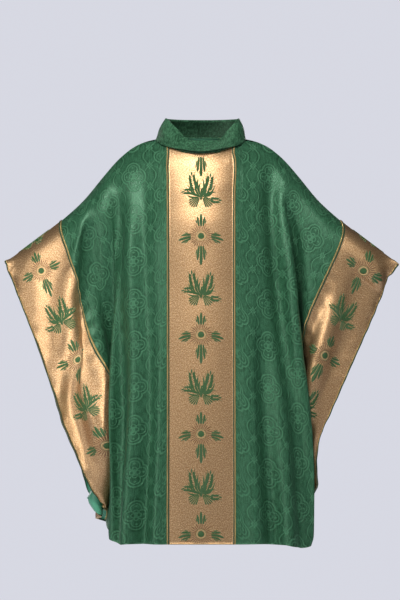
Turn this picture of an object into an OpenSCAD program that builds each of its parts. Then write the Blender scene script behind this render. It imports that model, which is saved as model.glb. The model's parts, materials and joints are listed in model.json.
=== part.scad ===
// Chasuble: a full, lined vestment in its worn shape, held at the neck and shoulders with the
// arms lowered to about 45 degrees. Two halves, front and back, meet at a seam along the
// shoulder ridge. Every cloth piece is a closed sheet cut from one drape: `across` is the
// distance over the flat cloth from the centre line, positive to the wearer's left, and `down`
// runs from 0 at the shoulder ridge or neckline to 1 at the hem.
// +X is the wearer's left, -Y is the front, and Z = 0 is the seam line at the sides of the neck.

/* [Cut of the cloth] */
// Half of the flat width, from the centre line to the arm edge
half_w = 705; // [660:5:740]
// Width of the centre orphrey, front and back
orphrey_w = 194; // [160:2:220]
// Width of the band along each arm edge
band_w = 190; // [150:2:220]
// Width of the woven galloon that covers each seam
galloon_w = 7; // [5:0.5:12]

/* [Hang] */
// Drop from the neck sides to the hem at the centre
hem_drop = 1224; // [1100:4:1300]
// How much higher the hem ends at the arm edge
hem_lift = 93; // [60:1:140]
// How far the front hem stands forward
hem_front = 240; // [200:5:280]
// How far the back hem stands back
hem_back = 250; // [200:5:280]
// How far the cloth swells over each lowered arm
arm_swell = 45; // [35:1:60]
// Depth of the soft vertical folds at the hem
fold_depth = 9; // [0:1:14]

/* [Neck and collar] */
// Half width of the neckline
neck_half_w = 128; // [115:1:135]
// Depth of the neckline in front of the shoulder ridge
neck_front = 105; // [90:1:115]
// Depth of the neckline behind the shoulder ridge
neck_back = 78; // [65:1:90]
// Drop of the neckline at the centre front
neck_drop = 41; // [30:1:50]
// Rise of the neckline at the centre back
neck_rise = 6; // [0:1:12]
// Height of the stand collar at its sides and back
collar_h = 57; // [45:1:65]
// How far the collar leans in at its sides
collar_lean = 19; // [10:1:24]
// How far the collar leans back at the centre front
collar_lean_front = 36; // [25:1:45]

/* [Thicknesses] */
// Damask and brocade face cloth with its interlining
face_t = 1.2; // [0.8:0.1:1.6]
// Lining cloth
lining_t = 0.6; // [0.4:0.1:1]
// Galloon braid
galloon_t = 1.0; // [0.6:0.1:1.4]
// Cord of the piping on the arm edges
piping_w = 3.0; // [2:0.5:4]
// Sewing thread
thread_t = 0.5; // [0.4:0.1:0.8]
// Air between two layers of cloth
layer_gap = 0.3; // [0.2:0.1:0.5]

/* [Hidden] */
FRONT = -1;
BACK = 1;
RIGHT = -1;
LEFT = 1;

GREEN = [0.10, 0.42, 0.24];
DARK_GREEN = [0.05, 0.22, 0.13];
LINING_GREEN = [0.35, 0.62, 0.47];
GOLD = [0.74, 0.58, 0.36];
BRIGHT_GOLD = [0.88, 0.72, 0.42];
COTTON = [0.85, 0.83, 0.76];

orphrey_edge = orphrey_w / 2;
band_edge = half_w - band_w;
// Length of the shoulder seam, from the side of the neck to the arm edge
seam_l = half_w - neck_half_w;
// Rows of facets down the cloth, and how far they crowd towards the shoulder
rows = 15;
row_crowding = 1.35;
hem_facing_rows = 0.965;
tape_rows = 0.012;

// --- the drape --------------------------------------------------------------------------

// The shoulder ridge: one Bezier curve from the side of the neck down along the arm
RIDGE = [[neck_half_w, 0], [neck_half_w + 156, -15], [neck_half_w + 78, -115],
         [neck_half_w + 447, -372]];
function bezier(p, s) =
  pow(1 - s, 3) * p[0] + 3 * pow(1 - s, 2) * s * p[1] + 3 * (1 - s) * s * s * p[2] + pow(s, 3) * p[3];

// Where a distance across the cloth arrives at the hem, sideways and forwards, as shares of the
// half width and of the hem's depth. The cloth turns back under itself beyond the front panel.
HEM_SIDE = [[0, 0], [0.28, 0.27], [0.50, 0.45], [0.60, 0.475], [0.66, 0.44], [0.73, 0.385],
            [0.86, 0.42], [1, 0.475], [1.1, 0.51]];
HEM_DEPTH = [[0, 1], [0.28, 0.96], [0.50, 0.84], [0.60, 0.70], [0.66, 0.60], [0.73, 0.50],
             [0.86, 0.26], [1, 0.05], [1.1, 0]];
// How quickly the cloth swings out from the ridge to the hem's depth
SWING = [[0, 1.6], [0.18, 2.6], [0.50, 2.4], [1, 1.4], [1.1, 1.4]];

function neck_share(across) = max(0, 1 - pow(across / neck_half_w, 2));
function top_point(across, side) =
  across <= neck_half_w
    ? [across,
       side * (side == FRONT ? neck_front : neck_back) * sqrt(neck_share(across)),
       (side == FRONT ? -neck_drop : neck_rise) * pow(neck_share(across), 0.75)]
    : let (r = bezier(RIDGE, (across - neck_half_w) / seam_l)) [r[0], 0, r[1]];
function hem_point(across, side) =
  let (share = across / half_w)
  [half_w * lookup(share, HEM_SIDE),
   side * (side == FRONT ? hem_front : hem_back) * lookup(share, HEM_DEPTH),
   -hem_drop + hem_lift * pow(share, 4)];
function arm_share(across) = min(1, max(0, (across / half_w - 0.35) / 0.4));
function fold_wave(across) = across < orphrey_edge ? 0 : 1 - cos(360 * (across - orphrey_edge) / 170);

// A point of the drape on the wearer's left half
function half_drape(across, down, side) =
  let (top = top_point(across, side), hem = hem_point(across, side),
       swing = 1 - pow(1 - down, lookup(across / half_w, SWING)))
  [top[0] + (hem[0] - top[0]) * down,
   top[1] + (hem[1] - top[1]) * swing
     + side * (arm_swell * arm_share(across) * sin(180 * sqrt(down))
               - fold_depth / 2 * fold_wave(across) * down),
   top[2] + (hem[2] - top[2]) * down];
function drape(across, down, side) =
  let (p = half_drape(abs(across), min(1, max(0, down)), side))
  [across < 0 ? -p[0] : p[0], p[1], p[2]];

function unit(v) = v / norm(v);
STEP_ACROSS = 4;
STEP_DOWN = 0.01;
function face_normal(across, down, side) =
  let (a = min(1 - STEP_DOWN, max(STEP_DOWN, down)))
  side * unit(cross(drape(across + STEP_ACROSS, a, side) - drape(across - STEP_ACROSS, a, side),
                     drape(across, a + STEP_DOWN, side) - drape(across, a - STEP_DOWN, side)));
// On the ridge, both halves share one normal, so that they meet without a gap
function ridge_normal(across) =
  let (f = face_normal(across, 0, FRONT), b = face_normal(across, 0, BACK)) unit(f + b);
function outward(across, down, side) =
  down == 0 && abs(across) >= neck_half_w ? ridge_normal(across) : face_normal(across, down, side);
function on_drape(across, down, side, lift) =
  drape(across, down, side) + lift * outward(across, down, side);

// --- closed sheets ------------------------------------------------------------------------

function between(a, b, n) = [for (i = [0:n]) a + (b - a) * i / n];
function rows_down(from, to) = [for (i = [0:rows]) from + (to - from) * pow(i / rows, row_crowding)];
function mirrored(list) = [for (i = [len(list) - 1:-1:0]) -list[i]];
function on_hand(list, hand) = hand == LEFT ? list : mirrored(list);

// Faces of a closed sheet of two grids, n columns by m rows, the inner grid first
function grid_faces(n, m) =
  let (outer = n * m,
       quads = concat(
         [for (i = [0:n - 2]) for (j = [0:m - 2]) let (a = outer + i * m + j) [a, a + m, a + m + 1, a + 1]],
         [for (i = [0:n - 2]) for (j = [0:m - 2]) let (a = i * m + j) [a, a + 1, a + m + 1, a + m]],
         [for (i = [0:n - 2]) let (a = i * m) [a, a + m, a + m + outer, a + outer]],
         [for (i = [0:n - 2]) let (a = i * m + m - 1) [a + m, a, a + outer, a + m + outer]],
         [for (j = [0:m - 2]) [j + 1, j, j + outer, j + 1 + outer]],
         [for (j = [0:m - 2]) let (a = (n - 1) * m + j) [a, a + 1, a + 1 + outer, a + outer]]))
  [for (q = quads) each [[q[0], q[1], q[2]], [q[0], q[2], q[3]]]];
function flipped(faces) = [for (f = faces) [f[2], f[1], f[0]]];

// A closed sheet over the given columns and rows, between two heights over the drape
module sheet(columns, downs, side, low, high) {
  faces = grid_faces(len(columns), len(downs));
  polyhedron(
    points = [for (lift = [low, high]) for (u = columns) for (d = downs) on_drape(u, d, side, lift)],
    faces = side == FRONT ? faces : flipped(faces));
}

function green_columns() =
  concat([orphrey_edge, (orphrey_edge + neck_half_w) / 2 + 3, neck_half_w - 4],
         between(neck_half_w, band_edge, 9));
function orphrey_columns() =
  let (half = [for (u = [22, 44, 66, 84]) u / 97 * orphrey_edge])
  concat([-orphrey_edge], mirrored(half), [0], half, [orphrey_edge]);
function band_columns() = between(band_edge, half_w, 4);

// --- face cloth ---------------------------------------------------------------------------

module green_panel(side, hand) {
  color(GREEN) sheet(on_hand(green_columns(), hand), rows_down(0, 1), side, 0, face_t);
}

module orphrey(side) {
  color(GOLD) sheet(orphrey_columns(), rows_down(0, 1), side, 0, face_t);
}

module side_band(side, hand) {
  color(GOLD) sheet(on_hand(band_columns(), hand), rows_down(0, 1), side, 0, face_t);
}

// --- trim ---------------------------------------------------------------------------------

module galloon(seam, side, hand) {
  low = face_t + layer_gap;
  columns = [seam - galloon_w / 2, seam, seam + galloon_w / 2];
  color(BRIGHT_GOLD) sheet(on_hand(columns, hand), rows_down(0, 1), side, low, low + galloon_t);
}

module piping(side, hand) {
  columns = [half_w, half_w + piping_w];
  color(DARK_GREEN) sheet(on_hand(columns, hand), rows_down(0, 1), side, -lining_t, face_t + 0.6);
}

// --- inside -------------------------------------------------------------------------------

function lining_columns() =
  let (half = concat([for (u = between(neck_half_w, band_edge, 6)) if (u < band_edge) u], band_columns()))
  concat(mirrored(half), orphrey_columns(), half);

module lining(side) {
  color(LINING_GREEN)
    sheet(lining_columns(), rows_down(0, 1), side, -layer_gap * 2 - 0.8 - lining_t, -layer_gap * 2 - 0.8);
}

module orphrey_interlining(side) {
  color(COTTON) sheet(orphrey_columns(), rows_down(0.005, 0.995), side, -layer_gap - 0.8, -layer_gap);
}

module hem_facing(side) {
  high = -layer_gap * 3 - 0.8 - lining_t;
  half = [for (u = between(0, band_edge, 8)) if (u > 0) u];
  columns = concat(mirrored(half), [0], half);
  color(GREEN) sheet(columns, between(hem_facing_rows, 1, 1), side, high - lining_t, high);
}

module shoulder_tape(hand) {
  high = -layer_gap * 4 - 0.8 - lining_t;
  columns = between(neck_half_w + 6, half_w - 6, 12);
  color(COTTON) sheet(on_hand(columns, hand), [0.003, 0.003 + tape_rows], FRONT, high - 0.8, high);
}

// --- collar -------------------------------------------------------------------------------

collar_steps = 48;
function front_share(angle) = max(0, -sin(angle));
function back_share(angle) = max(0, sin(angle));
function neck_edge(angle) =
  [neck_half_w * cos(angle),
   (sin(angle) < 0 ? neck_front : neck_back) * sin(angle),
   -neck_drop * pow(front_share(angle), 1.5) + neck_rise * back_share(angle)];
function collar_top(angle) =
  [(neck_half_w - collar_lean) * cos(angle),
   (sin(angle) < 0 ? neck_front - collar_lean_front : neck_back - 10) * sin(angle),
   collar_h - (collar_h + 3) * pow(front_share(angle), 1.35)];
function collar_out(angle) =
  let (e = 3, along = neck_edge(angle + e) - neck_edge(angle - e))
  unit(cross(along, collar_top(angle) - neck_edge(angle)));
function collar_point(angle, up, lift) =
  neck_edge(angle) * (1 - up) + collar_top(angle) * up + lift * collar_out(angle)
  + [0, 0, face_t + 0.5] * (1 - up);

// A closed band round the neck, between two heights over the collar's surface
module collar_sheet(ups, low, high) {
  m = len(ups);
  inner = collar_steps * m;
  points = [for (lift = [high, low]) for (i = [0:collar_steps - 1]) for (up = ups)
              collar_point(360 * i / collar_steps, up, lift)];
  quads = [for (i = [0:collar_steps - 1])
    let (a = i * m, b = ((i + 1) % collar_steps) * m)
    each concat(
      [for (j = [0:m - 2]) [a + j, a + j + 1, b + j + 1, b + j]],
      [for (j = [0:m - 2]) [inner + a + j, inner + b + j, inner + b + j + 1, inner + a + j + 1]],
      [[a, b, inner + b, inner + a], [a + m - 1, inner + a + m - 1, inner + b + m - 1, b + m - 1]])];
  polyhedron(points = points,
             faces = [for (q = quads) each [[q[0], q[1], q[2]], [q[0], q[2], q[3]]]]);
}

module collar_outer() {
  color(GREEN) collar_sheet([0, 0.35, 0.7, 1], 0, face_t);
}

module collar_interfacing() {
  color(COTTON) collar_sheet([0.03, 0.5, 0.97], -layer_gap - 1, -layer_gap);
}

module collar_lining() {
  color(LINING_GREEN) collar_sheet([0, 0.5, 1], -layer_gap * 2 - 1 - lining_t, -layer_gap * 2 - 1);
}

module neck_binding() {
  high = -layer_gap * 3 - 1 - lining_t;
  color(DARK_GREEN) collar_sheet([-0.06, 0.06], high - 1, high);
}

// --- stitching ----------------------------------------------------------------------------

// One row of thread down each edge of each galloon
module stitching(side) {
  inset = 0.8;
  low = face_t + layer_gap + galloon_t;
  for (seam = [orphrey_edge, band_edge])
    for (edge = [-1, 1])
      for (hand = [LEFT, RIGHT])
        let (at = seam + edge * (galloon_w / 2 - inset))
        color(DARK_GREEN)
          sheet(on_hand([at - thread_t / 2, at + thread_t / 2], hand), rows_down(0.002, 0.998), side,
                low, low + thread_t);
}

green_panel(FRONT, LEFT);  // front_panel_left
green_panel(FRONT, RIGHT);  // front_panel_right
green_panel(BACK, LEFT);  // back_panel_left
green_panel(BACK, RIGHT);  // back_panel_right
orphrey(FRONT);  // orphrey_front
orphrey(BACK);  // orphrey_back
side_band(FRONT, LEFT);  // side_band_front_left
side_band(FRONT, RIGHT);  // side_band_front_right
side_band(BACK, LEFT);  // side_band_back_left
side_band(BACK, RIGHT);  // side_band_back_right
galloon(orphrey_edge, FRONT, LEFT);  // galloon_orphrey_front_left
galloon(orphrey_edge, FRONT, RIGHT);  // galloon_orphrey_front_right
galloon(orphrey_edge, BACK, LEFT);  // galloon_orphrey_back_left
galloon(orphrey_edge, BACK, RIGHT);  // galloon_orphrey_back_right
galloon(band_edge, FRONT, LEFT);  // galloon_band_front_left
galloon(band_edge, FRONT, RIGHT);  // galloon_band_front_right
galloon(band_edge, BACK, LEFT);  // galloon_band_back_left
galloon(band_edge, BACK, RIGHT);  // galloon_band_back_right
piping(FRONT, LEFT);  // piping_front_left
piping(FRONT, RIGHT);  // piping_front_right
piping(BACK, LEFT);  // piping_back_left
piping(BACK, RIGHT);  // piping_back_right
collar_outer();
collar_interfacing();
collar_lining();
neck_binding();
lining(FRONT);  // lining_front
lining(BACK);  // lining_back
orphrey_interlining(FRONT);  // orphrey_interlining_front
orphrey_interlining(BACK);  // orphrey_interlining_back
hem_facing(FRONT);  // hem_facing_front
hem_facing(BACK);  // hem_facing_back
shoulder_tape(LEFT);  // shoulder_tape_left
shoulder_tape(RIGHT);  // shoulder_tape_right
stitching(FRONT);  // stitching_front
stitching(BACK);  // stitching_back
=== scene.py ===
import math
import json
import bpy
import bmesh
import numpy as np
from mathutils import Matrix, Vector

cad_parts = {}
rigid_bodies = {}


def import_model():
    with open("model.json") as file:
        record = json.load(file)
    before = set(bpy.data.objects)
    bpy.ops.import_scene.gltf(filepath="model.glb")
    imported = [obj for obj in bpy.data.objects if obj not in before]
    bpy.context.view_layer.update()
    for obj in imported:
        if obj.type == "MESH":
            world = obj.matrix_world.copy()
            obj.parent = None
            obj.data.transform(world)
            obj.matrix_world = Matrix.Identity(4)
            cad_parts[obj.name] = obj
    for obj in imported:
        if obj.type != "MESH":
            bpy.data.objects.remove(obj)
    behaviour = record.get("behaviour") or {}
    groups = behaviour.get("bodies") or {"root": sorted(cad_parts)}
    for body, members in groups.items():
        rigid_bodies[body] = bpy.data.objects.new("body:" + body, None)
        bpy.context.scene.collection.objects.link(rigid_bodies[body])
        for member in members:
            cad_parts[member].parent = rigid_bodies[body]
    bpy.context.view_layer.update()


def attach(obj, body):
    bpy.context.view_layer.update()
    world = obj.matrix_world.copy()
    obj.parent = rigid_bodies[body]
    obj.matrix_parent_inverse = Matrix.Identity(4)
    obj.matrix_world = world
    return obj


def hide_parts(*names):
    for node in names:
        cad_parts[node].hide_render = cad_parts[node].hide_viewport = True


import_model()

scene = bpy.context.scene

# ---------------------------------------------------------------- dimensions, metres
SLOPE = math.radians(18)      # the cut's shoulder slope
NECK = 0.125                  # the cut's half neck width
ORPHREY = 0.096               # half width of the centre orphrey
BAND = 0.190                  # width of a side band
NECK_FRONT, NECK_BACK = 0.115, 0.085
STEP = 0.022                  # spacing of the simulated cloth

# the shoulder and arm line that the cloth rests on: out, back, up
RIDGE = np.array([(0.128, 0, 0), (0.150, 0, -0.002), (0.176, 0, -0.010), (0.209, 0, -0.027), (0.245, -0.002, -0.062),
                  (0.292, -0.008, -0.118), (0.351, -0.02, -0.190), (0.416, -0.033, -0.250), (0.484, -0.045, -0.303),
                  (0.575, -0.055, -0.372)])
RIDGE[:, 1] = np.interp(RIDGE[:, 0], [0.128, 0.24, 0.575], [0, 0, -0.05])


def smooth_line(points, n=40):
    p = np.vstack([2 * points[0] - points[1], points, 2 * points[-1] - points[-2]])
    out = []
    for i in range(1, len(p) - 2):
        for k in range(n):
            t = k / n
            out.append(0.5 * (2 * p[i] + (p[i + 1] - p[i - 1]) * t
                              + (2 * p[i - 1] - 5 * p[i] + 4 * p[i + 1] - p[i + 2]) * t * t
                              + (3 * p[i] - p[i - 1] - 3 * p[i + 1] + p[i + 2]) * t ** 3))
    out.append(p[-2])
    return np.array(out)


def run_length(p):
    return np.concatenate([[0], np.cumsum(np.linalg.norm(np.diff(p, axis=0), axis=1))])


ridge = smooth_line(RIDGE)
ridge_s = run_length(ridge)
SEAM = ridge_s[-1]
HALF = NECK + SEAM * math.cos(SLOPE)   # half width of the cut


# ---------------------------------------------------------------- the cut, as height against distance from the centre
def hem_line(a, front):
    # longer under the neck, so that the worn hem is level there
    low = [-1.287, -1.282, -1.263, -1.247] if front else [-1.304, -1.297, -1.268, -1.250]
    z = np.interp(a, [0, 0.05, 0.10, 0.115, 0.13, 0.15, 0.20, 0.25, 0.30, 0.36],
                  low + [-1.226, -1.219, -1.218, -1.213, -1.206, -1.205])
    start = HALF - 0.62
    t = np.clip((a - start) / (HALF - start), 0, 1)
    return z + 0.195 * t ** 2.2


def neck_line(a, front):
    depth = NECK_FRONT if front else NECK_BACK
    return np.where(a <= NECK, -depth * np.sqrt(np.maximum(0, 1 - (a / NECK) ** 2)), -(a - NECK) * math.tan(SLOPE))


def soft_top(a, front):
    depth = NECK_FRONT if front else NECK_BACK
    base = -depth * 0.75 * np.maximum(0, 1 - (a / (1.9 * NECK)) ** 2) ** 2
    return base - np.where(a > NECK, np.maximum(0, np.hypot(a - NECK, 0.03) - 0.03) * math.tan(SLOPE), 0)


def cut_height(u, t, side):
    a, front = np.abs(u), side == 0
    top0, top, hem = soft_top(a, front), neck_line(a, front), hem_line(a, front)
    return top0 + (hem - top0) * t + (top - top0) * (1 - t) ** 7


def row_at(u, z, side):
    a, front = np.abs(u), side == 0
    top0, top, hem = soft_top(a, front), neck_line(a, front), hem_line(a, front)
    t = np.clip((z - top0) / (hem - top0), 0, 1)
    for _ in range(14):
        t = np.clip((z - top0 - (top - top0) * (1 - t) ** 7) / (hem - top0), 0, 1)
    return t


marks = [0, ORPHREY, NECK, HALF - BAND, HALF]
columns = [0.0]
for a, b in zip(marks[:-1], marks[1:]):
    n = max(1, round((b - a) / STEP))
    columns += [a + (b - a) * (k + 1) / n for k in range(n)]
U = np.array([-c for c in columns[:0:-1]] + columns)
NU, NR = len(U), round(1.2 / STEP)
CURVE_POWER = 1.5


def neckline(angle, front):
    s = np.abs(np.sin(angle))
    if front:
        return np.stack([0.128 * np.cos(angle), -0.105 * s, -0.041 * s ** CURVE_POWER], -1)
    return np.stack([0.128 * np.cos(angle), 0.078 * s, 0.006 * s], -1)


def depth_at(z, front):
    if front:
        return np.interp(-z, [0.04, 0.12, 0.25, 0.45, 1.224], [0.105, 0.135, 0.155, 0.165, 0.225])
    return np.interp(-z, [-0.006, 0.10, 0.25, 0.45, 1.224], [0.078, 0.115, 0.14, 0.15, 0.235])


# lines of the soft folds beside the centre: distance out at four heights, then how far forward at the hem
FOLD_HEIGHTS = [0.05, 0.24, 0.72, 1.224]
FRONT_FOLDS = {1: [(0.110, 0.130, 0.160, 0.188, 0.010), (0.125, 0.160, 0.190, 0.232, -0.014),
                   (0.140, 0.182, 0.222, 0.279, 0.012), (0.155, 0.204, 0.262, 0.335, -0.020)],
               -1: [(0.110, 0.125, 0.124, 0.148, 0.012), (0.125, 0.175, 0.155, 0.182, -0.018),
                    (0.140, 0.205, 0.184, 0.216, 0.012), (0.150, 0.226, 0.216, 0.258, -0.045)]}
BACK_FOLDS = {s: [(0.110, 0.13, 0.16, 0.19, 0.012), (0.125, 0.16, 0.20, 0.24, -0.012),
                  (0.140, 0.19, 0.235, 0.28, 0.012), (0.155, 0.215, 0.262, 0.32, 0.0)] for s in (1, -1)}


def plan_curve(z, front, hand):
    """The panel's line across, in plan, at height z: run, out and depth."""
    lines = (FRONT_FOLDS if front else BACK_FOLDS)[hand]
    grow = min(1, max(0, (-z - 0.15) / 1.05))
    bow = np.interp(-z, [0.05, 0.3, 1.22], [2.2, 1.1, 0.40])
    knots = [(0, 0), (ORPHREY, 0)] + [(np.interp(-z, FOLD_HEIGHTS, q[:4]), q[4] * grow) for q in lines]
    x = np.linspace(0, knots[-1][0], 60)
    y = np.zeros_like(x)
    for (x0, y0), (x1, y1) in zip(knots[:-1], knots[1:]):
        m = (x >= x0 - 1e-9) & (x <= x1 + 1e-9)
        y[m] = y0 + (y1 - y0) * (1 - np.cos(np.pi * (x[m] - x0) / (x1 - x0))) / 2
    y = depth_at(z, front) - bow * x ** 2 + y
    return run_length(np.stack([x, y], -1)), x, (-1 if front else 1) * y


def body_rings(full):
    """The stand under the cloth, as rings of points: a torso that widens to a skirt, and two arms."""
    profile = [(0.03, 0.058, 0.058), (-0.010, 0.085, 0.062), (-0.030, 0.130, 0.075), (-0.055, 0.175, 0.090),
               (-0.090, 0.195, 0.105), (-0.15, 0.195, 0.122), (-0.24, 0.190, 0.135), (-0.34, 0.180, 0.130),
               (-0.45, 0.165, 0.120), (-0.60, 0.185, 0.135), (-0.80, 0.215, 0.150), (-1.00, 0.250, 0.170),
               (-1.20, 0.285, 0.190), (-1.35, 0.305, 0.205)]
    parts = []
    rings = []
    for z, rx, ry in profile:
        a = 2 * math.pi * np.arange(40) / 40
        e = 2 / 2.2
        rings.append(np.stack([rx * np.abs(np.cos(a)) ** e * np.sign(np.cos(a)),
                               max(0.001, ry * full) * np.abs(np.sin(a)) ** e * np.sign(np.sin(a)),
                               np.full(40, z)], -1))
    parts.append(rings)
    for hand in (1, -1):
        rings = []
        for k in range(18):
            s = SEAM * (0.03 + k / 17)

            def at(q):
                flat_p = np.array([NECK + q * math.cos(SLOPE), 0, -q * math.sin(SLOPE)])
                on = np.array([np.interp(min(q, SEAM), ridge_s, ridge[:, c]) for c in range(3)])
                return flat_p + (on - flat_p) * full
            s1 = min(s, SEAM - 0.01)
            t = at(s1 + 0.01) - at(s1)
            t /= np.linalg.norm(t)
            r = np.interp(s, [0, 0.1, 0.2, 0.6], [0.060, 0.062, 0.052, 0.040])
            nx, nz = -t[2], t[0]
            if nz < 0:
                nx, nz = -nx, -nz
            c = at(s)
            a = 2 * math.pi * np.arange(16) / 16
            rings.append(np.stack([hand * (c[0] - nx * (r + 0.006) + nx * r * np.cos(a)),
                                   c[1] + max(0.001, r * full) * np.sin(a),
                                   c[2] - nz * (r + 0.006) + nz * r * np.cos(a)], -1))
        parts.append(rings)
    return parts


def simulate():
    """Lay the flat cut over the stand and let it fall. Gives the points of each side, (NU, NR + 1, 3)."""
    index, verts, flat = {}, [], []
    for side in (0, 1):
        for i, u in enumerate(U):
            z = cut_height(np.full(NR + 1, u), np.arange(NR + 1) / NR, side)
            for j in range(NR + 1):
                if side == 1 and j == 0 and abs(u) >= NECK - 1e-9:
                    index[side, i, j] = index[0, i, 0]
                    continue
                y = -0.004 if side == 0 else 0.004
                if j == 0 and abs(u) >= NECK - 1e-9:
                    y = 0
                index[side, i, j] = len(verts)
                verts.append((u, y, z[j]))
                flat.append(z[j])
    faces = []
    for side in (0, 1):
        for i in range(NU - 1):
            for j in range(NR):
                q = [index[side, i, j], index[side, i + 1, j], index[side, i + 1, j + 1], index[side, i, j + 1]]
                faces.append(q[::-1] if side == 0 else q)
    me = bpy.data.meshes.new("fall")
    me.from_pydata(verts, [], faces)
    ob = bpy.data.objects.new("fall", me)
    scene.collection.objects.link(ob)
    target, weight = {}, {}
    # the neckline and the shoulder line are held
    for side in (0, 1):
        front = side == 0
        for i, u in enumerate(U):
            a, sign = abs(u), (1 if u >= 0 else -1)
            if a <= NECK + 1e-9:
                p = neckline(np.array(math.acos(min(1, (a + 0.003 * (a / NECK) ** 5) / 0.128))), front)
            else:
                p = [np.interp((a - NECK) / math.cos(SLOPE), ridge_s, ridge[:, c]) for c in range(3)]
            v = index[side, i, 0]
            target[v], weight[v] = (sign * p[0], p[1], p[2]), 1.0
    # the panels beside the centre are guided on to their soft folds
    hold = 30.0
    for side in (0, 1):
        front = side == 0
        for i, u in enumerate(U):
            a, hand = abs(u), (1 if u >= 0 else -1)
            if a > 0.42:
                continue
            v0 = index[side, i, 0]
            p0 = target[v0]
            for j in range(1, NR + 1):
                v = index[side, i, j]
                drop = flat[v0] - flat[v]
                z = p0[2] - drop * 0.985
                s, xs, ys = plan_curve(z, front, hand)
                k = min(1, drop / 0.14)
                k = k * k * (3 - 2 * k)
                if a > s[-1] + 0.001 or k < 0.15:
                    continue
                edge = min(1, max(0, (s[-1] - a) / 0.06))
                pull = (20 if a <= ORPHREY else 10) * k * (0.25 + 0.75 * edge)
                x = abs(p0[0]) + (np.interp(a, s, xs) - abs(p0[0])) * k
                y = p0[1] + (np.interp(a, s, ys) - p0[1]) * k
                target[v], weight[v] = (hand * x, y, z), min(0.95, (pull / hold) ** 0.25)
    # the outer edges of the sleeves hang in towards the skirt
    edges = [(0, 1, 8.0, [(0.579, -0.03, -0.372), (0.507, -0.06, -0.546), (0.440, -0.08, -0.696), (0.392, -0.09, -0.801),
                          (0.352, -0.09, -0.885), (0.342, -0.09, -0.957), (0.345, -0.08, -1.038), (0.318, -0.07, -1.085)]),
             (0, -1, 6.0, [(-0.583, -0.05, -0.372), (-0.534, -0.11, -0.490), (-0.478, -0.14, -0.630), (-0.428, -0.12, -0.785),
                           (-0.410, -0.10, -0.855), (-0.372, -0.08, -0.945), (-0.348, -0.06, -1.010),
                           (-0.324, -0.05, -1.055), (-0.292, -0.04, -1.095)]),
             (1, -1, 4.0, [(-0.583, -0.04, -0.372), (-0.520, 0.00, -0.495), (-0.455, 0.02, -0.636), (-0.400, 0.03, -0.800),
                           (-0.368, 0.03, -0.930), (-0.358, 0.02, -1.020), (-0.330, 0.03, -1.090)]),
             (1, 1, 6.0, [(0.583, -0.04, -0.372), (0.500, 0.00, -0.546), (0.425, 0.03, -0.696), (0.360, 0.05, -0.830),
                          (0.315, 0.06, -0.950), (0.290, 0.07, -1.080)])]
    for side, hand, pull, line in edges:
        edge = np.array(line)
        edge_s = run_length(edge)
        i = NU - 1 if hand == 1 else 0
        v0 = index[side, i, 0]
        for j in range(2, NR + 1):
            v = index[side, i, j]
            drop = flat[v0] - flat[v]
            if drop <= edge_s[-1] + 0.08:
                target[v] = tuple(np.interp(drop, edge_s, edge[:, c]) for c in range(3))
                weight[v] = (pull / hold) ** 0.25
    pins = ob.vertex_groups.new(name="pin")
    ob.shape_key_add(name="flat")
    posed = ob.shape_key_add(name="posed")
    for v, w in weight.items():
        posed.data[v].co = target[v]
        pins.add([v], w, "REPLACE")
    stiff = ob.vertex_groups.new(name="stiff")
    for (side, i, j), v in index.items():
        a = abs(U[i])
        w = 1.0 if a <= ORPHREY else (0.6 if a > HALF - BAND else 0.0)
        if w:
            stiff.add([v], w, "REPLACE")
    # the stand
    sets = [body_rings(0.02), body_rings(1.0)]
    v0, f0 = [], []
    for rings in sets[0]:
        base, n = len(v0), len(rings[0])
        for r in rings:
            v0 += [tuple(p) for p in r]
        for a in range(len(rings) - 1):
            for k in range(n):
                f0.append((base + a * n + k, base + a * n + (k + 1) % n, base + (a + 1) * n + (k + 1) % n,
                           base + (a + 1) * n + k))
        f0.append(tuple(base + k for k in range(n))[::-1])
        f0.append(tuple(base + (len(rings) - 1) * n + k for k in range(n)))
    bm_ = bpy.data.meshes.new("stand")
    bm_.from_pydata(v0, [], f0)
    body = bpy.data.objects.new("stand", bm_)
    scene.collection.objects.link(body)
    b = bmesh.new()
    b.from_mesh(bm_)
    bmesh.ops.recalc_face_normals(b, faces=b.faces)
    b.to_mesh(bm_)
    b.free()
    body.shape_key_add(name="flat")
    full = body.shape_key_add(name="full")
    k = 0
    for rings in sets[1]:
        for r in rings:
            for p in r:
                full.data[k].co = tuple(p)
                k += 1
    posing, last = 45, 92
    for key, o in ((posed, ob), (full, body)):
        key.value = 0
        key.keyframe_insert("value", frame=1)
        key.value = 1
        key.keyframe_insert("value", frame=posing)
        for fc in o.data.shape_keys.animation_data.action.fcurves:
            for kp in fc.keyframe_points:
                kp.interpolation = "LINEAR"
    body.modifiers.new("solid", "COLLISION")
    body.collision.thickness_outer = 0.006
    body.collision.thickness_inner = 0.05
    body.collision.cloth_friction = 6
    body.collision.damping = 0.3
    m = ob.modifiers.new("cloth", "CLOTH")
    s = m.settings
    s.quality = 5
    s.mass = 0.25
    s.air_damping = 10
    s.keyframe_insert("air_damping", frame=1)
    s.keyframe_insert("air_damping", frame=posing + 10)
    s.air_damping = 3
    s.keyframe_insert("air_damping", frame=posing + 40)
    s.tension_stiffness = s.compression_stiffness = 40
    s.shear_stiffness = 16
    s.bending_stiffness = 2
    s.tension_damping = s.compression_damping = s.shear_damping = 8
    s.bending_damping = 0.6
    s.vertex_group_mass = "pin"
    s.vertex_group_bending = "stiff"
    s.bending_stiffness_max = 20
    s.pin_stiffness = hold
    c = m.collision_settings
    c.collision_quality = 3
    c.distance_min = 0.004
    c.use_self_collision = True
    c.self_distance_min = 0.005
    c.self_friction = 2
    m.point_cache.frame_start, m.point_cache.frame_end = 1, last
    scene.frame_start, scene.frame_end = 1, last
    for f in range(1, last + 1):
        scene.frame_set(f)
    e = ob.evaluated_get(bpy.context.evaluated_depsgraph_get())
    em = e.to_mesh()
    co = np.zeros(len(em.vertices) * 3, np.float32)
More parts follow.
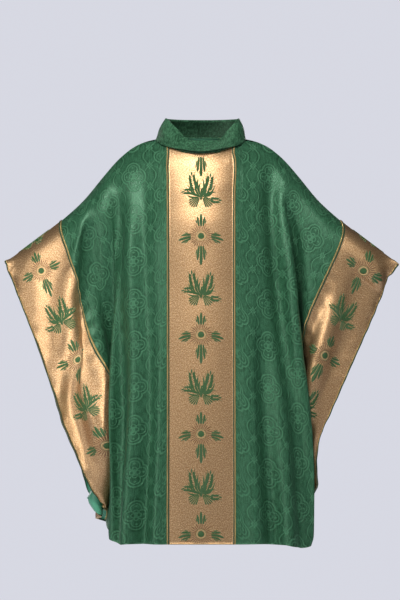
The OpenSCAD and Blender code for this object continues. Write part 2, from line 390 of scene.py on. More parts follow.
    em.vertices.foreach_get("co", co)
    co = co.reshape(-1, 3).astype(float)
    e.to_mesh_clear()
    for o in (ob, body):
        data = o.data
        for mod in list(o.modifiers):
            o.modifiers.remove(mod)
        bpy.data.objects.remove(o, do_unlink=True)
        bpy.data.meshes.remove(data)
    for action in list(bpy.data.actions):
        bpy.data.actions.remove(action)
    scene.frame_set(1)
    out = np.zeros((2, NU, NR + 1, 3))
    for (side, i, j), v in index.items():
        out[side, i, j] = co[v]
    return out


GRID = simulate()

# ---------------------------------------------------------------- the drape as a smooth surface over the cut
on_seam = np.abs(U) >= NECK - 1e-9


def padded_grid(grid, side):
    """One more row and column all round, so that the surface runs on smoothly over the shoulder seam."""
    g = grid[side]
    over = np.where(on_seam[:, None], grid[1 - side][:, 1], 2 * g[:, 0] - g[:, 1])
    g = np.concatenate([over[:, None], g, (2 * g[:, -1] - g[:, -2])[:, None]], 1)
    return np.concatenate([(2 * g[0] - g[1])[None], g, (2 * g[-1] - g[-2])[None]], 0)


def soften(grid, rounds):
    """Evens out the simulation's small facets; the neckline, the shoulder line and the edges stay."""
    for _ in range(rounds):
        new = grid.copy()
        for side in (0, 1):
            g = padded_grid(grid, side)
            mean = (g[:-2, 1:-1] + g[2:, 1:-1] + g[1:-1, :-2] + g[1:-1, 2:]) / 4
            part = 0.5 * np.ones((NU, NR + 1, 1))
            part[:, 0] = 0
            part[np.abs(U) <= ORPHREY] = 0.2
            part[:, 0] = 0
            part[[0, -1]] = 0
            part[:, -1] = 0
            new[side] = grid[side] * (1 - part) + mean * part
            new[side][1:-1, -1] = grid[side][1:-1, -1] / 2 + (grid[side][:-2, -1] + grid[side][2:, -1]) / 4
        grid = new
    # the rows beside the shoulder seam, where the cloth is pulled tight over the ridge
    for _ in range(10):
        new = grid.copy()
        for side in (0, 1):
            g = padded_grid(grid, side)
            mean = (g[:-2, 1:-1] + g[2:, 1:-1] + g[1:-1, :-2] + g[1:-1, 2:]) / 4
            part = np.zeros((NU, NR + 1, 1))
            part[on_seam, 1:7, 0] = np.array([0.9, 0.9, 0.8, 0.6, 0.4, 0.2])
            part[[0, -1]] = 0
            new[side] = grid[side] * (1 - part) + mean * part
        grid = new
    return grid


# the stiffened centre strip hangs straight
pull = np.clip((0.165 - np.abs(U)) / (0.165 - ORPHREY), 0, 1)
pull = (pull * pull * (3 - 2 * pull))[None, :, None]
GRID[..., 0] += (U[None, :, None] - GRID[..., 0]) * pull
calm = GRID.copy()
for _ in range(7):
    calm[:, 1:-1] = 0.25 * calm[:, :-2] + 0.5 * calm[:, 1:-1] + 0.25 * calm[:, 2:]
GRID += (calm - GRID) * np.clip((0.31 - np.abs(U)) / 0.07, 0, 1)[None, :, None, None]
GRID = soften(GRID, 2)
PAD = [padded_grid(GRID, s) for s in (0, 1)]
NORMAL_GRID = []
for s in (0, 1):
    across = PAD[s][2:, 1:-1] - PAD[s][:-2, 1:-1]
    down = PAD[s][1:-1, 2:] - PAD[s][1:-1, :-2]
    n = np.cross(across, down)
    NORMAL_GRID.append(n / np.linalg.norm(n, axis=-1, keepdims=True) * (1 if s == 0 else -1))
NORMAL_GRID = np.array(NORMAL_GRID)
if NORMAL_GRID[0, NU // 2, NR // 2, 1] > 0:
    NORMAL_GRID = -NORMAL_GRID
NPAD = []
for s in (0, 1):
    g = NORMAL_GRID[s]
    over = np.where(on_seam[:, None], NORMAL_GRID[1 - s][:, 1], g[:, 0])
    g = np.concatenate([over[:, None], g, g[:, -1:]], 1)
    NPAD.append(np.concatenate([g[:1], g, g[-1:]], 0))


def cubic(t):
    return [0.5 * (-t + 2 * t * t - t ** 3), 0.5 * (2 - 5 * t * t + 3 * t ** 3), 0.5 * (t + 4 * t * t - 3 * t ** 3),
            0.5 * (t ** 3 - t * t)]


def hem_at(u, side):
    return hem_line(np.abs(u), side == 0)


def top_at(u, side):
    return neck_line(np.abs(u), side == 0)


# soft folds, as lines down the cut: (half width, [(height, distance out, how far forward), ...])
FOLDS = {
    (0, 1): [(0.024, [(-0.35, 0.148, 0), (-0.75, 0.150, 0.006), (-1.25, 0.168, 0.010)]),
             (0.024, [(-0.40, 0.176, 0), (-0.75, 0.190, -0.010), (-1.25, 0.222, -0.016)]),
             (0.034, [(-0.50, 0.226, 0), (-0.80, 0.242, 0.011), (-1.25, 0.276, 0.018)]),
             (0.024, [(-0.75, 0.290, 0), (-0.95, 0.298, -0.008), (-1.25, 0.320, -0.012)]),
             (0.024, [(0.06, 0.200, 0), (-0.16, 0.218, -0.012), (-0.42, 0.240, -0.019), (-0.70, 0.272, -0.008), (-0.95, 0.29, 0)]),
             (0.028, [(-0.02, 0.262, 0), (-0.24, 0.268, 0.009), (-0.48, 0.284, 0.012), (-0.72, 0.31, 0.004), (-0.9, 0.33, 0)]),
             (0.022, [(-0.10, 0.320, 0), (-0.28, 0.322, -0.007), (-0.50, 0.332, -0.008), (-0.75, 0.36, 0)])],
    (0, -1): [(0.020, [(-0.40, 0.122, 0), (-0.75, 0.126, 0.005), (-1.25, 0.142, 0.009)]),
              (0.024, [(0.02, 0.172, 0), (-0.32, 0.178, -0.008), (-0.62, 0.168, -0.008), (-0.90, 0.168, -0.012), (-1.25, 0.190, -0.015)]),
              (0.034, [(0.02, 0.220, 0), (-0.34, 0.222, 0.008), (-0.62, 0.208, 0.009), (-0.86, 0.212, 0.016), (-1.25, 0.252, 0.020)]),
              (0.026, [(0.02, 0.268, 0), (-0.30, 0.272, -0.008), (-0.55, 0.270, -0.008), (-0.80, 0.272, -0.013), (-1.25, 0.300, -0.013)]),
              (0.026, [(0.0, 0.310, 0), (-0.26, 0.322, 0.011), (-0.48, 0.350, 0.010), (-0.75, 0.38, 0)]),
              (0.026, [(-0.10, 0.37, 0), (-0.24, 0.40, -0.008), (-0.50, 0.43, -0.010), (-0.80, 0.45, 0)])],
}
FOLDS[1, 1] = [(w, [(z, u, 0.9 * a) for z, u, a in line]) for w, line in FOLDS[0, -1]]
FOLDS[1, -1] = [(w, [(z - 0.03, u + 0.008, 0.85 * a) for z, u, a in line]) for w, line in FOLDS[0, 1]]
# the broad swelling of the raised sleeve's band
inner = HALF - BAND
FOLDS[0, -1] += [(0.056, [(-0.20, inner + 0.04, 0), (-0.44, inner + 0.050, 0.008), (-0.58, inner + 0.058, 0.023),
                          (-0.80, inner + 0.066, 0.022), (-1.05, inner + 0.08, 0)])]
for side, hand, lines in ((0, 1, 1.0), (0, -1, 0.45), (1, 1, 0.8), (1, -1, 0.9)):
    FOLDS[side, hand] += [
        (0.022, [(-0.26, inner + 0.05, 0), (-0.40, inner + 0.060, 0.006 * lines), (-0.70, inner + 0.10, 0.007 * lines), (-1.1, inner + 0.12, 0)]),
        (0.020, [(-0.24, inner + 0.02, 0), (-0.40, inner + 0.022, -0.006 * lines), (-0.80, inner + 0.055, -0.008 * lines), (-1.1, inner + 0.08, 0)]),
        (0.024, [(-0.30, inner + 0.12, 0), (-0.50, inner + 0.130, -0.006 * lines), (-0.85, inner + 0.15, -0.007 * lines), (-1.1, inner + 0.16, 0)])]


def folded(side, u, z):
    """How far forward the soft folds carry the cloth, with small puckers beside the band's braid."""
    out = np.zeros(len(u))
    a = np.abs(u)
    for hand in (1, -1):
        m = (u >= 0) == (hand == 1)
        for width, line in FOLDS[side, hand]:
            q = np.array(line)
            at, rise = np.interp(-z, -q[:, 0], q[:, 1]), np.interp(-z, -q[:, 0], q[:, 2])
            rise = np.where(rise < 0, 1.85, 1.65) * rise
            begin = -q[0, 0]
            ramp = np.clip((-z - begin) / 0.30, 0, 1)
            rise = rise * ramp * ramp * (3 - 2 * ramp)
            out += m * rise * np.exp(-((a - at) / (width * np.where(rise > 0, 1.25, 1.15))) ** 2)
    d = a - (HALF - BAND)
    near = np.exp(-(d / 0.028) ** 2) * np.clip((-z - 0.22) / 0.1, 0, 1)
    out += 0.0016 * near * np.sin(2 * math.pi * (z + 0.25 * d) / 0.041 + 2.0 * np.sin(7 * z + side))
    edge = np.exp(-((HALF - a) / 0.022) ** 2) * np.clip((-z - 0.22) / 0.1, 0, 1)
    out += 0.0013 * edge * np.sin(2 * math.pi * z / 0.055 + 3 * np.sin(5 * z + 1))
    hold = np.clip((a - ORPHREY + 0.002) / 0.02, 0, 1)
    drop = np.clip((top_at(u, side) - z - 0.02) / 0.07, 0, 1)
    return out * hold * hold * (3 - 2 * hold) * drop * drop * (3 - 2 * drop)


def surface(side, u, z, lift=0.0):
    """Points and normals of the drape where the cut has distance u from the centre and height z."""
    u, z = np.asarray(u, float), np.asarray(z, float)
    shape = np.broadcast(u, z).shape
    u, z = np.broadcast_to(u, shape).ravel(), np.broadcast_to(z, shape).ravel()
    ci = np.interp(u, U, np.arange(NU))
    rj = row_at(u, z, side) * NR
    i0 = np.clip(np.floor(ci).astype(int), 0, NU - 2)
    j0 = np.clip(np.floor(rj).astype(int), 0, NR - 1)
    wu, wv = cubic(ci - i0), cubic(rj - j0)
    p, n = np.zeros((len(u), 3)), np.zeros((len(u), 3))
    for a in range(4):
        for b in range(4):
            w = (wu[a] * wv[b])[:, None]
            p += w * PAD[side][i0 + a, j0 + b]
            n += w * NPAD[side][i0 + a, j0 + b]
    n /= np.linalg.norm(n, axis=-1, keepdims=True)
    p += n * (np.broadcast_to(np.asarray(lift, float), shape).ravel() + folded(side, u, z))[:, None]
    return p.reshape(shape + (3,)), n.reshape(shape + (3,))


# ---------------------------------------------------------------- meshes
REST = {}


def new_piece(name, verts, faces, uv, material, nodes, smooth=True):
    me = bpy.data.meshes.new(name)
    me.from_pydata([tuple(v) for v in verts], [], faces)
    layer = me.uv_layers.new(name="Flat")
    loops = np.zeros(len(me.loops), int)
    me.loops.foreach_get("vertex_index", loops)
    layer.data.foreach_set("uv", np.asarray(uv, float)[loops].ravel())
    me.polygons.foreach_set("use_smooth", [smooth] * len(me.polygons))
    me.materials.append(material)
    me.validate()
    me.update()
    ob = bpy.data.objects.new(name, me)
    scene.collection.objects.link(ob)
    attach(ob, "root")
    if nodes:
        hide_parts(*nodes)
    return ob


def shell(inner, outer):
    """A closed shell between two grids of points (columns, rows, 3): faces that face out, and the grid's indices."""
    nc, nr = inner.shape[:2]
    n = nc * nr
    verts = np.concatenate([outer.reshape(-1, 3), inner.reshape(-1, 3)])
    k = np.arange(n).reshape(nc, nr)
    faces = []
    a, b, c, d = k[:-1, :-1].ravel(), k[1:, :-1].ravel(), k[1:, 1:].ravel(), k[:-1, 1:].ravel()
    faces += np.stack([a, d, c, b], -1).tolist()
    faces += np.stack([a + n, b + n, c + n, d + n], -1).tolist()
    for line in (k[:, 0][::-1], k[:, -1], k[0], k[-1][::-1]):
        faces += np.stack([line[:-1], line[1:], line[1:] + n, line[:-1] + n], -1).tolist()
    return verts, faces


def cloth(name, side, u0, u1, low, high, material, nodes, top=0.0, bottom=0.0, step=0.008, band=None,
          fall=None):
    """A piece of the cut from u0 to u1, as a layer from low to high off the drape. top and bottom shorten it."""
    nc = max(3, int(math.ceil((u1 - u0) / step)) + 1)
    cols = np.linspace(u0, u1, nc)
    t_top, t_bot = top_at(cols, side) - top, hem_at(cols, side) + bottom
    if band is not None:
        t_top = np.minimum(t_top, t_bot + band)
    if fall is not None:
        t_bot = t_top - fall
    nr = max(3, int(math.ceil((t_top - t_bot).max() / step)) + 1)
    f = np.linspace(0, 1, nr)
    uu = np.repeat(cols[:, None], nr, 1)
    zz = t_top[:, None] + (t_bot - t_top)[:, None] * f[None]
    outer, _ = surface(side, uu, zz, high)
    inner, _ = surface(side, uu, zz, low)
    verts, faces = shell(inner, outer)
    if side == 0:
        faces = [q[::-1] for q in faces]
    uv = np.stack([uu.ravel(), zz.ravel()], -1)
    ob = new_piece(name, verts, faces, np.concatenate([uv, uv]), material, nodes)
    area = float(np.trapezoid(t_top - t_bot, cols)) if hasattr(np, "trapezoid") else float(np.trapz(t_top - t_bot, cols))
    REST[name] = (u1 - u0, float(t_top.max() - t_bot.min()), area)
    for line, high_ in ((t_bot, band), (t_top, fall)):
        if high_ is not None:
            # a strip cut to follow a sloping or curved edge
            REST[name] = (float(run_length(np.stack([cols, line], -1))[-1]), high_, area)
    return ob


def declare(ob, with_pieces=()):
    w, l, area = REST[ob.name]
    min(area, w * l)


def strips(name, side, lines, profile, material, nodes, step=0.010):
    """Narrow braid along lines of the cut. Each line is points (u, z); profile is (across, lift) points."""
    verts, faces, uvs = [], [], []
    for line in lines:
        line = np.asarray(line, float)
        s = run_length(line)
        n = max(2, int(s[-1] / step) + 1)
        q = np.linspace(0, s[-1], n)
        p = np.stack([np.interp(q, s, line[:, 0]), np.interp(q, s, line[:, 1])], -1)
        t = np.gradient(p, axis=0)
        t /= np.linalg.norm(t, axis=1, keepdims=True)
        side_way = np.stack([-t[:, 1], t[:, 0]], -1)
        prof = np.asarray(profile, float)
        uu = p[:, None, 0] + side_way[:, None, 0] * prof[None, :, 0]
        zz = p[:, None, 1] + side_way[:, None, 1] * prof[None, :, 0]
        zz = np.maximum(zz, hem_at(uu, side))
        pts, _ = surface(side, uu, zz, prof[None, :, 1] + 0 * uu)
        base, m = len(verts), len(prof)
        verts += pts.reshape(-1, 3).tolist()
        uvs += np.stack([prof[None, :, 0] + 0 * uu, q[:, None] + 0 * uu], -1).reshape(-1, 2).tolist()
        for i in range(n - 1):
            for j in range(m):
                a, b = base + i * m + j, base + i * m + (j + 1) % m
                f = (a, b, b + m, a + m)
                faces.append(f if side == 0 else f[::-1])
        for start, flip in ((base, True), (base + (n - 1) * m, False)):
            f = tuple(start + j for j in range(m))
            faces.append(f[::-1] if flip == (side == 0) else f)
    return new_piece(name, verts, faces, uvs, material, nodes)


def rib(width, low, high, n=5, at=0.0):
    """A braid's section: a low dome with a flat underside."""
    a = np.linspace(0, math.pi, n)
    top = [(at + width / 2 * math.cos(x), low + 0.35 * (high - low) + 0.65 * (high - low) * math.sin(x)) for x in a]
    return top[::-1] + [(at + width / 2, low), (at - width / 2, low)]


def embroider(name, side, strokes, material, nodes, high=0.0009, base=0.0032):
    """Raised satin stitching. Each stroke is (points (n, 2) on the cut, widths n)."""
    uu, zz, hh, uvs, faces = [], [], [], [], []
    start = 0
    for p, w, *own in strokes:
        low = own[0] if own else base
        p, w = np.asarray(p, float), np.asarray(w, float)
        t = np.gradient(p, axis=0)
        t /= np.maximum(1e-9, np.linalg.norm(t, axis=1, keepdims=True))
        across = np.stack([-t[:, 1], t[:, 0]], -1)
        s = run_length(p)
        prof = np.array([-0.5, -0.28, 0.0, 0.28, 0.5])
        rise = np.array([-0.0006, 0.70, 1.0, 0.70, -0.0006])
        g = p[:, None] + across[:, None] * (w[:, None, None] * prof[None, :, None])
        thick = np.minimum(high, 0.0004 + 0.16 * w)[:, None]
        h = low + np.where(np.abs(prof)[None] == 0.5, -0.0006, thick * np.maximum(rise, 0)[None])
        h[0] = np.minimum(h[0], low - 0.0002)
        h[-1] = np.minimum(h[-1], low - 0.0002)
        uu.append(g[..., 0].ravel())
        zz.append(g[..., 1].ravel())
        hh.append(h.ravel())
        uvs.append(np.stack([(w[:, None] * prof[None]).ravel(), np.repeat(s, 5)], -1))
        n = len(p)
        k = start + np.arange(n * 5).reshape(n, 5)
        a, b, c, d = k[:-1, :-1].ravel(), k[:-1, 1:].ravel(), k[1:, 1:].ravel(), k[1:, :-1].ravel()
        f = np.stack([a, b, c, d], -1)
        if side == 1:
            f = f[:, ::-1]
        faces += f.tolist()
        start += n * 5
    uu, zz, hh = np.concatenate(uu), np.concatenate(zz), np.concatenate(hh)
    zz = np.maximum(zz, hem_at(uu, side) + 0.001)
    zz = np.minimum(zz, top_at(uu, side) - 0.001)
    uu = np.clip(uu, -HALF + 0.002, HALF - 0.002)
    pts, _ = surface(side, uu, zz, hh)
    return new_piece(name, pts, faces, np.concatenate(uvs), material, nodes)


# ---------------------------------------------------------------- motifs, millimetres, x right and y up
def bow(p0, p1, bend=0.0, n=7):
    p0, p1 = np.asarray(p0, float), np.asarray(p1, float)
    t = np.linspace(0, 1, n)[:, None]
    d = p1 - p0
    side = np.array([-d[1], d[0]])
    return p0 + d * t + side * bend * 4 * t * (1 - t)


def leaf(p0, p1, width, bend=0.0, n=7, blunt=0.0):
    t = np.linspace(0, 1, n)
    w = width * np.maximum(0.08, np.sin(math.pi * t ** (1 - 0.25 * blunt)) ** 0.7)
    return bow(p0, p1, bend, n), w


def wedge(p0, p1, w0, w1, bend=0.0, n=5):
    t = np.linspace(0, 1, n)
    w = w0 + (w1 - w0) * t
    w[-1] *= 0.35
    return bow(p0, p1, bend, n), w


def polar(r, deg):
    return np.array([r * math.cos(math.radians(deg)), r * math.sin(math.radians(deg))])


def ring_stroke(r, width, n=28, cx=0.0, cy=0.0):
    a = np.linspace(0, 2 * math.pi, n)
    return np.stack([cx + r * np.cos(a), cy + r * np.sin(a)], -1), np.full(n, width)


def tapered(points, widths, n=9):
    p, w = np.asarray(points, float), np.asarray(widths, float)
    q = run_length(p)
    t = np.linspace(0, q[-1], n)
    return np.stack([np.interp(t, q, p[:, 0]), np.interp(t, q, p[:, 1])], -1), np.interp(t, q, w)


def turned(strokes, deg):
    c, s = math.cos(math.radians(deg)), math.sin(math.radians(deg))
    return [(np.stack([p[:, 0] * c - p[:, 1] * s, p[:, 0] * s + p[:, 1] * c], -1), w) for p, w in strokes]


def cross_motif():
    x = np.linspace(-9.4, 9.4, 11)
    out = [(np.stack([x, 0 * x], -1), 2 * np.sqrt(np.maximum(0.5, 9.4 ** 2 - x ** 2)))]
    out.append(ring_stroke(15.0, 0.9, 36))
    arm = [tapered([(29, 0), (42, 0), (58, 0), (65, 0)], [6.4, 8.0, 7.6, 3.4])]
    for g in (-1, 1):
        arm.append(tapered([(30, 6.2 * g), (42, 8.0 * g), (51, 9.8 * g), (57, 11.2 * g)], [4.6, 6.4, 6.2, 2.6]))
        arm.append(tapered([(37, 12.0 * g), (43, 13.6 * g), (48, 15.2 * g)], [2.4, 4.4, 1.6], 5))
    for a in (0, 90, 180):
        out += turned(arm, a)
    foot = [tapered([(29, 0), (50, 0), (77, 0), (86, 0)], [6.6, 8.2, 9.6, 4.0], 11)]
    for g in (-1, 1):
        foot.append(tapered([(30, 6.2 * g), (46, 8.0 * g), (62, 9.6 * g), (71, 10.8 * g)], [4.6, 6.8, 7.2, 3.0]))
        foot.append(tapered([(40, 12.4 * g), (49, 14.0 * g), (57, 15.4 * g)], [2.4, 4.6, 1.8], 5))
    out += turned(foot, -90)
    return out


def ray_motif():
    out = []
    for k in range(30):
        a = k * 12 + 6
        r = 37 if k % 2 else 31
        out.append((bow(polar(16.5, a), polar(r, a), 0.03, 4), np.array([1.2, 1.8, 2.2, 1.2])))
    return out


def halo_motif():
    out = [ring_stroke(12.2, 3.0, 36)]
    for k in range(30):
        a = k * 12
        out.append((bow(polar(18.0, a), polar(34, a), 0.0, 4), np.array([0.9, 1.2, 1.5, 0.9])))
    return out


def ear(p0, p1, bend, pairs=8, size=10.0, start=0.48, plump=4.4):
    """A stem with a full ear of wheat on its upper part, with short awns."""
    out = []
    line = bow(p0, p1, bend, 41)
    t = np.gradient(line, axis=0)
    t /= np.linalg.norm(t, axis=1, keepdims=True)
    out.append((line[:int(41 * start) + 2:3], np.full(len(line[:int(41 * start) + 2:3]), 1.9)))
    for k in range(pairs):
        i = int(41 * (start + (1 - start) * k / pairs))
        shrink = 1 - 0.35 * k / pairs
        for sgn in (-1, 1):
            side = np.array([-t[i][1], t[i][0]]) * sgn
            q = line[i] + side * 0.8
            tip = q + (t[i] * 0.80 + side * 0.60) * size * shrink
            out.append(leaf(q, tip, plump, 0.14 * sgn, 6))
            if k % 2 == 0:
                out.append((bow(tip, tip + (t[i] * 0.9 + side * 0.42) * size * 0.55, 0, 3), np.array([1.3, 1.0, 0.6])))
    out.append(leaf(line[-1] - t[-1] * 2, line[-1] + t[-1] * size * 0.8, 4.2))
    return out


def wheat_motif():
    out = []
    out += ear((-3, -24), (-24, 36), 0.07, 7, 14.0, 0.40, 5.6)
    out += ear((4, -24), (24, 32), -0.07, 7, 14.0, 0.40, 5.6)
    out += ear((-4, -22), (-44, -3), -0.10, 5, 10.5, 0.45, 4.8)
    out += ear((6, -20), (46, -25), -0.12, 5, 10.5, 0.50, 4.8)
    for p1, w, b_ in (((-13, 18), 5.2, 0.16), ((-7, 30), 4.6, 0.10), ((-1, 16), 5.0, 0.14), ((4, 28), 4.8, -0.10),
                      ((10, 14), 5.0, -0.16), ((12, 36), 4.2, -0.10), ((20, 6), 4.8, -0.20), ((32, 2), 4.6, -0.20),
                      ((-20, 2), 4.8, 0.20), ((-33, 12), 4.2, 0.14), ((36, 14), 4.0, -0.16), ((40, -8), 4.2, 0.14),
                      ((-36, -14), 4.4, 0.14), ((-2, 2), 4.4, -0.14), ((7, 4), 4.4, 0.14), ((-42, 6), 3.4, 0.10)):
        base = (p1[0] * 0.10 + 0.5, -22)
        out.append(leaf(base, p1, w, b_, 10))
    for sgn in (-1, 1):
        c = np.array([sgn * 1.5, -20.0])
        for k, d in enumerate(np.linspace(-1, 1, 6)):
            a = -90 + sgn * (48 + 26 * d)
            r = 36 - 4.0 * d * d
            out.append(tapered([c + polar(7, a), c + polar(20, a), c + polar(r - 3, a), c + polar(r, a)],
                               [1.4, 2.9, 4.2, 1.4]))
    out.append(leaf((0, -16), (0, -32), 6.0))
    return out


CROSS, WHEAT, RAYS, HALO = cross_motif(), wheat_motif(), ray_motif(), halo_motif()
WHEAT = [(p * 1.08, w * 1.18) for p, w in WHEAT]


def outline(motif):
    """The same strokes a little wider, for a pale edge under the green."""
    return [(p, np.minimum(w + 2.0, w * 1.8 + 0.6)) for p, w in motif if w.max() > 1.8]


def placed(motif, u0, z0, flip=1, scale=1.0):
    return [(np.stack([u0 + flip * p[:, 0] * 0.001 * scale, z0 + p[:, 1] * 0.001 * scale], -1), w * 0.001 * scale)
            for p, w in motif]


# ---------------------------------------------------------------- materials
class Ex:
    """A value in a material's node tree, with ordinary arithmetic."""

    def __init__(self, tree, socket):
        self.tree, self.socket = tree, socket

    def op(self, kind, *args, clamp=False):
        n = self.tree.nodes.new("ShaderNodeMath")
        n.operation, n.use_clamp = kind, clamp
        for k, a in enumerate((self,) + args):
            if isinstance(a, Ex):
                self.tree.links.new(a.socket, n.inputs[k])
            else:
                n.inputs[k].default_value = a
        return Ex(self.tree, n.outputs[0])

    def __add__(self, o):
        return self.op("ADD", o)

    def __sub__(self, o):
        return self.op("SUBTRACT", o)

    def __mul__(self, o):
        return self.op("MULTIPLY", o)

    def abs(self):
        return self.op("ABSOLUTE")

    def fold(self, period):
        """Distance from the nearest multiple of period."""
        return (self + 500 * period).op("PINGPONG", period / 2)

    def hyp(self, o):
        return (self * self + o * o).op("SQRT")

    def min(self, o):
        return self.op("MINIMUM", o)

    def max(self, o):
        return self.op("MAXIMUM", o)

    def line(self, half, soft):
        """1 where the value is within half of zero, falling to 0 over soft."""
        return (self.abs() * (-1 / soft) + (half + soft) / soft).op("ADD", 0.0, clamp=True)

    def below(self, edge, soft):
        return (self * (-1 / soft) + edge / soft).op("ADD", 0.0, clamp=True)

    def wave(self, period, phase=0.0):
        return (self * (2 * math.pi / period) + phase).op("COSINE")


class Mat:
    def __init__(self, name):
        self.m = bpy.data.materials.new(name)
        self.m.use_nodes = True
        self.t = self.m.node_tree
        self.b = self.t.nodes["Principled BSDF"]
        uv = self.t.nodes.new("ShaderNodeUVMap")
        uv.uv_map = "Flat"
        sep = self.t.nodes.new("ShaderNodeSeparateXYZ")
        self.t.links.new(uv.outputs[0], sep.inputs[0])
        self.uv = uv.outputs[0]
        self.x, self.y = Ex(self.t, sep.outputs[0]), Ex(self.t, sep.outputs[1])

    def noise(self, scale, detail=2.0, stretch=(1, 1, 1), rough=0.5):
        mp = self.t.nodes.new("ShaderNodeMapping")
        mp.inputs["Scale"].default_value = stretch
        self.t.links.new(self.uv, mp.inputs[0])
        n = self.t.nodes.new("ShaderNodeTexNoise")
        n.inputs["Scale"].default_value = scale
        n.inputs["Detail"].default_value = detail
        n.inputs["Roughness"].default_value = rough
        self.t.links.new(mp.outputs[0], n.inputs["Vector"])
        return Ex(self.t, n.outputs[0])

    def mix(self, fac, a, b):
        n = self.t.nodes.new("ShaderNodeMix")
        n.data_type = "RGBA"
        self.t.links.new(fac.socket, n.inputs[0])
        for k, c in ((6, a), (7, b)):
            if isinstance(c, tuple):
                n.inputs[k].default_value = (c[0], c[1], c[2], 1)
            else:
                self.t.links.new(c, n.inputs[k])
        return n.outputs[2]

    def colour(self, socket):
        if isinstance(socket, tuple):
            self.b.inputs["Base Color"].default_value = (*socket, 1)
        else:
            self.t.links.new(socket, self.b.inputs["Base Color"])

    def rough(self, v):
        if isinstance(v, Ex):
            self.t.links.new(v.socket, self.b.inputs["Roughness"])
        else:
            self.b.inputs["Roughness"].default_value = v

    def bump(self, height, distance, strength=1.0):
        n = self.t.nodes.new("ShaderNodeBump")
        n.inputs["Distance"].default_value = distance
        n.inputs["Strength"].default_value = strength
        self.t.links.new(height.socket, n.inputs["Height"])
        self.t.links.new(n.outputs[0], self.b.inputs["Normal"])

    def set(self, **kw):
        for k, v in kw.items():
            self.b.inputs[k.replace("_", " ")].default_value = v


def damask_figure(m, more=0.0):
    """Half-drop rows of four-lobed medallions in double outline, with crossing waves and small trefoils between."""
    px, py = 0.206, 0.125
    soft = 0.0006 + more * 0.5
    xa, ya = m.x.fold(px), m.y.fold(py)
    xb, yb = xa * -1 + px / 2, ya * -1 + py / 2
    figure = None
    nearest = None
    for fx, fy in ((xa, ya), (xb, yb)):
        side = (fx - 0.0165).hyp(fy) - 0.0215
        ends = fx.hyp(fy - 0.0205) - 0.0215
        q = side.min(ends)
        nearest = q if nearest is None else nearest.min(q)
        lines = q.line(0.0018 + more, soft).max((q + 0.0080).line(0.0012 + more, soft))
        bud = (fx - 0.0075).hyp(fy).min(fx.hyp(fy - 0.0095))
        lines = lines.max((bud - 0.0058).line(0.0013 + more, soft))
        tips = (fx - 0.0215).hyp(fy).min(fx.hyp(fy - 0.0265))
        lines = lines.max(tips.below(0.0036 + more / 2, soft))
        figure = lines if figure is None else figure.max(lines)
    swing = m.y.wave(py) * 0.019
    wave_a = (xa - px / 4 + swing)
    wave_b = (xa - px / 4 - swing)
    outside = (nearest * (1 / 0.002) - 1.6).op("ADD", 0.0, clamp=True)
    net = wave_a.line(0.0014 + more, soft).max(wave_b.line(0.0014 + more, soft))
    gx, gy = (xa - px / 4).abs(), (ya - py / 4)
    curl = ((gx - 0.0).hyp(gy) - 0.0060).line(0.0013 + more, soft)
    trefoil = (gx - 0.0075).hyp(gy + 0.0).min(gx.hyp(gy.abs() - 0.0100)).below(0.0030 + more / 2, soft)
    net = net.max(curl).max(trefoil) * outside
    return figure.max(net)


def damask():
    m = Mat("green_damask")
    f = damask_figure(m)
    # the figure widened by 4.5 mm: the mask of a painted shadow round its lines
    painted_shade_rim = damask_figure(m, 0.0045)
    weave = (m.x + m.y * 1.0).wave(0.0016) * 0.5 + 0.5
    weft = (m.y - m.x * 0.6).wave(0.0013) * 0.5 + 0.5
    cloud = m.noise(9, 3)
    slub = m.noise(260, 2, (1, 0.18, 1))
    ground = m.mix(cloud, (0.0080, 0.037, 0.0170), (0.0128, 0.055, 0.0255))
    figure = m.mix(cloud, (0.032, 0.118, 0.058), (0.052, 0.168, 0.088))
    patch = (m.noise(16, 2) * 2.4 - 0.55).op("ADD", 0.0, clamp=True)
    fine = m.noise(400, 2, (1, 0.7, 1), 0.65)
    # fine light specks on the ground: partly the weave's grain, partly painted glints of the satin
    ground = m.mix((fine * 3.6 - 1.65).op("ADD", 0.0, clamp=True), ground, (0.040, 0.150, 0.076))
    # painted shadow: the ground is darkened in a thin margin round the figure's lines, as shade beside raised lines
    ground = m.mix(painted_shade_rim * 0.60, ground, (0.0035, 0.024, 0.0095))
    col = m.mix(f * (patch * 0.40 + 0.60), ground, figure)
    col = m.mix((slub * 0.9 - 0.28).op("ADD", 0.0, clamp=True), col, (0.075, 0.250, 0.135))
    m.colour(col)
    m.rough(f * 0.10 + fine * 0.20 + 0.30)
    m.bump(f * 0.95 + weave * (f * -0.10 + 0.12) + weft * f * 0.14 + slub * 0.15 + fine * 0.45, 0.0008, 0.8)
    m.set(Specular_IOR_Level=0.70, Sheen_Weight=0.03, Sheen_Roughness=0.35, Anisotropic=0.3)
    m.b.inputs["Specular Tint"].default_value = (0.52, 1.0, 0.68, 1)
    m.b.inputs["Sheen Tint"].default_value = (0.55, 0.95, 0.72, 1)
    return m.m


def plain_green(name="green_twill", depth=1.0):
    m = Mat(name)
    cloud, slub = m.noise(26, 3), m.noise(170, 3, (1, 0.6, 1), 0.65)
    twill = (m.x * 1.0 + m.y).wave(0.0022) * 0.5 + 0.5
    # depth scales both colours; below 1 it gives a darker copy of the same twill, painted shade
    dark, light = (0.007, 0.042, 0.017), (0.074, 0.224, 0.118)
    m.colour(m.mix((cloud * 0.8 + slub * 3.4 - 1.75).op("ADD", 0.0, clamp=True), tuple(depth * c for c in dark),
                   tuple(depth * c for c in light)))
    m.rough(slub * 0.2 + 0.40)
    m.bump(twill * 0.4 + slub * 1.5, 0.0012, 0.9)
    m.set(Specular_IOR_Level=0.50, Sheen_Weight=0.03, Sheen_Roughness=0.35)
    m.b.inputs["Specular Tint"].default_value = (0.60, 1.0, 0.72, 1)
    m.b.inputs["Sheen Tint"].default_value = (0.55, 0.95, 0.72, 1)
    return m.m


